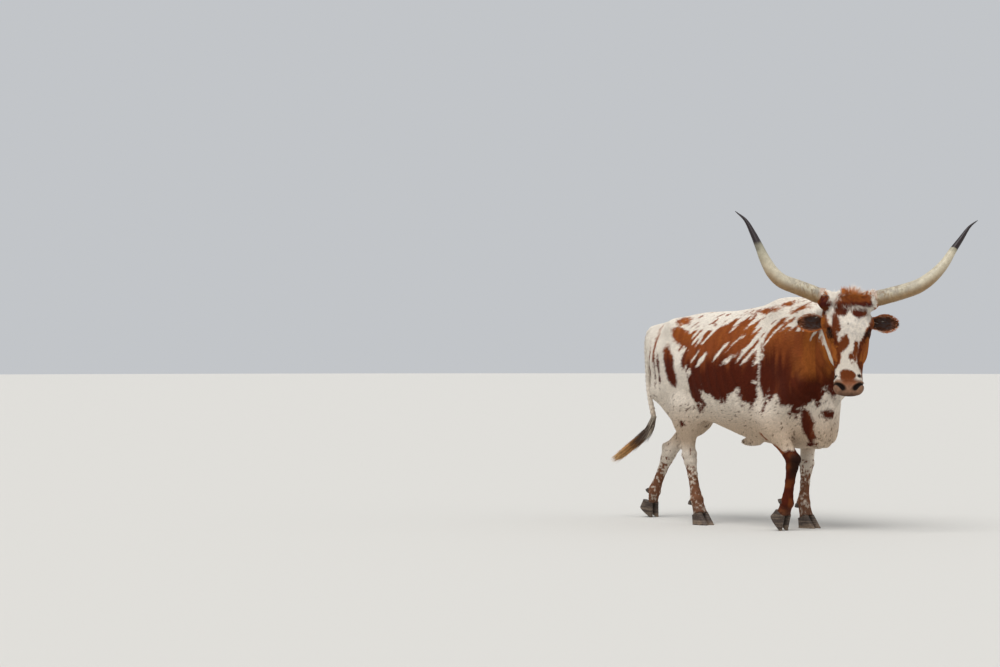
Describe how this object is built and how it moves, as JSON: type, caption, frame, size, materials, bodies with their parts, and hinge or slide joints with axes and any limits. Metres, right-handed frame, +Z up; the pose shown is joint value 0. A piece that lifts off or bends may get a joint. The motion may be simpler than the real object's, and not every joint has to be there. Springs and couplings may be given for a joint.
{
  "type": "texas longhorn steer",
  "caption": "Life-size still model of a walking longhorn steer, its head turned to its right, with wide upswept horns.",
  "frame": {"origin": "middle of the bounding box, on the floor that the hooves stand on", "axes": "+X forwards along the body, +Y to the animal's left, +Z up"},
  "size_m": [2.4888, 0.8908, 1.8633],
  "materials": {
    "coat": "short smooth hair, cream white with red-brown patches",
    "face": "short hair, brown cheeks and ears round a white blaze",
    "horn": "satin horn, cream at the base and dark at the tip",
    "hoof": "dull dark horn with growth rings",
    "eye": "wet dark brown eye",
    "hair": "long loose hair"
  },
  "bodies": {
    "root": {"torso": "coat", "neck": "coat", "head": "face", "tail": "coat", "tail_switch": "hair", "eye_left": "eye", "ear_left": "face", "horn_left": "horn", "eye_right": "eye", "ear_right": "face", "horn_right": "horn", "leg_fore_left": "coat", "claw_fore_left_outer": "hoof", "claw_fore_left_inner": "hoof", "leg_fore_right": "coat", "claw_fore_right_outer": "hoof", "claw_fore_right_inner": "hoof", "leg_hind_left": "coat", "claw_hind_left_outer": "hoof", "claw_hind_left_inner": "hoof", "leg_hind_right": "coat", "claw_hind_right_outer": "hoof", "claw_hind_right_inner": "hoof"}
  },
  "joints": []
}
